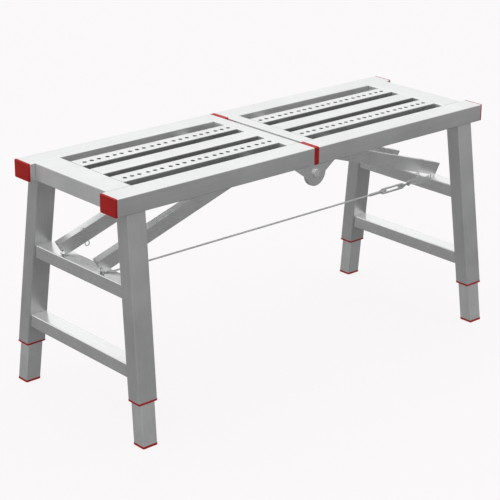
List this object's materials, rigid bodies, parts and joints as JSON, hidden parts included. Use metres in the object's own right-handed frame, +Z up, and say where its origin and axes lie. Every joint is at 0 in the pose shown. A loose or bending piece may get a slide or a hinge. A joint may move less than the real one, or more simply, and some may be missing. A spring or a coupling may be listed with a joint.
{
  "type": "folding work platform bench",
  "caption": "Folding aluminium work platform bench: slotted deck hinged at its middle, splayed leg frames with rungs and telescopic feet, braces and a tie wire.",
  "frame": {"origin": "centre of the bounding box's base, on the floor under the deck's middle", "axes": "+X along the deck's length, -Y to the front, +Z up"},
  "size_m": [1.4, 0.5856, 0.683],
  "materials": {
    "deck_aluminium": "clear anodised, smooth",
    "frame_aluminium": "satin mill extrusion",
    "red_plastic": "moulded, low sheen",
    "steel": "zinc plated"
  },
  "bodies": {
    "left_deck": {"left_end_beam": "deck_aluminium", "left_centre_beam": "deck_aluminium", "left_front_plank": "deck_aluminium", "left_middle_plank": "deck_aluminium", "left_rear_plank": "deck_aluminium", "left_brace_bar": "steel", "left_front_rail": "deck_aluminium", "left_front_end_cap": "red_plastic", "left_front_centre_cap": "red_plastic", "left_front_hinge_ear": "frame_aluminium", "left_rear_rail": "deck_aluminium", "left_rear_end_cap": "red_plastic", "left_rear_centre_cap": "red_plastic", "left_rear_hinge_ear": "frame_aluminium", "front_pivot_bolt": "steel", "rear_pivot_bolt": "steel", "tie_wire": "steel"},
    "left_leg_frame": {"left_leg_shaft": "steel", "left_upper_rung": "frame_aluminium", "left_lower_rung": "frame_aluminium", "left_front_leg": "frame_aluminium", "left_front_collar": "red_plastic", "left_rear_leg": "frame_aluminium", "left_rear_collar": "red_plastic"},
    "left_braces": {"left_front_brace": "frame_aluminium", "left_rear_brace": "frame_aluminium"},
    "left_front_foot": {"left_front_foot": "frame_aluminium", "left_front_foot_cap": "red_plastic"},
    "left_rear_foot": {"left_rear_foot": "frame_aluminium", "left_rear_foot_cap": "red_plastic"},
    "right_deck": {"right_end_beam": "deck_aluminium", "right_centre_beam": "deck_aluminium", "right_front_plank": "deck_aluminium", "right_middle_plank": "deck_aluminium", "right_rear_plank": "deck_aluminium", "right_brace_bar": "steel", "right_front_rail": "deck_aluminium", "right_front_end_cap": "red_plastic", "right_front_centre_cap": "red_plastic", "right_front_hinge_ear": "frame_aluminium", "right_rear_rail": "deck_aluminium", "right_rear_end_cap": "red_plastic", "right_rear_centre_cap": "red_plastic", "right_rear_hinge_ear": "frame_aluminium"},
    "right_leg_frame": {"right_leg_shaft": "steel", "right_upper_rung": "frame_aluminium", "right_lower_rung": "frame_aluminium", "right_front_leg": "frame_aluminium", "right_front_collar": "red_plastic", "right_rear_leg": "frame_aluminium", "right_rear_collar": "red_plastic"},
    "right_braces": {"right_front_brace": "frame_aluminium", "right_rear_brace": "frame_aluminium"},
    "right_front_foot": {"right_front_foot": "frame_aluminium", "right_front_foot_cap": "red_plastic"},
    "right_rear_foot": {"right_rear_foot": "frame_aluminium", "right_rear_foot_cap": "red_plastic"},
    "turnbuckle": {"turnbuckle_hook": "steel", "turnbuckle_rod": "steel"},
    "turnbuckle_frame": {"turnbuckle_frame": "steel"}
  },
  "joints": [
    {"name": "deck_fold", "type": "hinge", "parent": "left_deck", "child": "right_deck", "pos_m": [0, 0, 0.608], "axis": [0, 1, 0], "range_deg": [0, 68], "deforming": ["tie_wire"]},
    {"name": "left_leg_fold", "type": "hinge", "parent": "left_deck", "child": "left_leg_frame", "pos_m": [-0.5915, 0, 0.624], "axis": [0, -1, 0], "range_deg": [0, 83], "deforming": ["tie_wire"]},
    {"name": "left_brace_swing", "type": "hinge", "parent": "left_deck", "child": "left_braces", "pos_m": [-0.15, 0, 0.615], "axis": [0, 1, 0], "range_deg": [0, 15.36]},
    {"name": "left_front_foot_slide", "type": "slide", "parent": "left_leg_frame", "child": "left_front_foot", "axis": [0.0345, 0.1178, 0.9924], "range_m": [-0.16, 0.11]},
    {"name": "left_rear_foot_slide", "type": "slide", "parent": "left_leg_frame", "child": "left_rear_foot", "axis": [0.0345, -0.1178, 0.9924], "range_m": [-0.16, 0.11]},
    {"name": "right_leg_fold", "type": "hinge", "parent": "right_deck", "child": "right_leg_frame", "pos_m": [0.5915, 0, 0.624], "axis": [0, 1, 0], "range_deg": [0, 83], "deforming": ["tie_wire"]},
    {"name": "right_brace_swing", "type": "hinge", "parent": "right_deck", "child": "right_braces", "pos_m": [0.15, 0, 0.615], "axis": [0, -1, 0], "range_deg": [0, 15.36]},
    {"name": "right_front_foot_slide", "type": "slide", "parent": "right_leg_frame", "child": "right_front_foot", "axis": [-0.0345, 0.1178, 0.9924], "range_m": [-0.16, 0.11]},
    {"name": "right_rear_foot_slide", "type": "slide", "parent": "right_leg_frame", "child": "right_rear_foot", "axis": [-0.0345, -0.1178, 0.9924], "range_m": [-0.16, 0.11]},
    {"name": "turnbuckle_swing", "type": "hinge", "parent": "right_leg_frame", "child": "turnbuckle", "pos_m": [0.634, 0, 0.385], "axis": [0, -1, 0], "range_deg": [0, 83]},
    {"name": "turnbuckle_turn", "type": "hinge", "parent": "turnbuckle", "child": "turnbuckle_frame", "pos_m": [0.5575, 0, 0.385], "axis": [1, 0, 0], "continuous": true}
  ],
  "couplings": [
    {"joint": "left_brace_swing", "follows": "left_leg_fold", "ratio": 0.185},
    {"joint": "right_brace_swing", "follows": "right_leg_fold", "ratio": 0.185},
    {"joint": "turnbuckle_swing", "follows": "right_leg_fold", "ratio": 1}
  ]
}
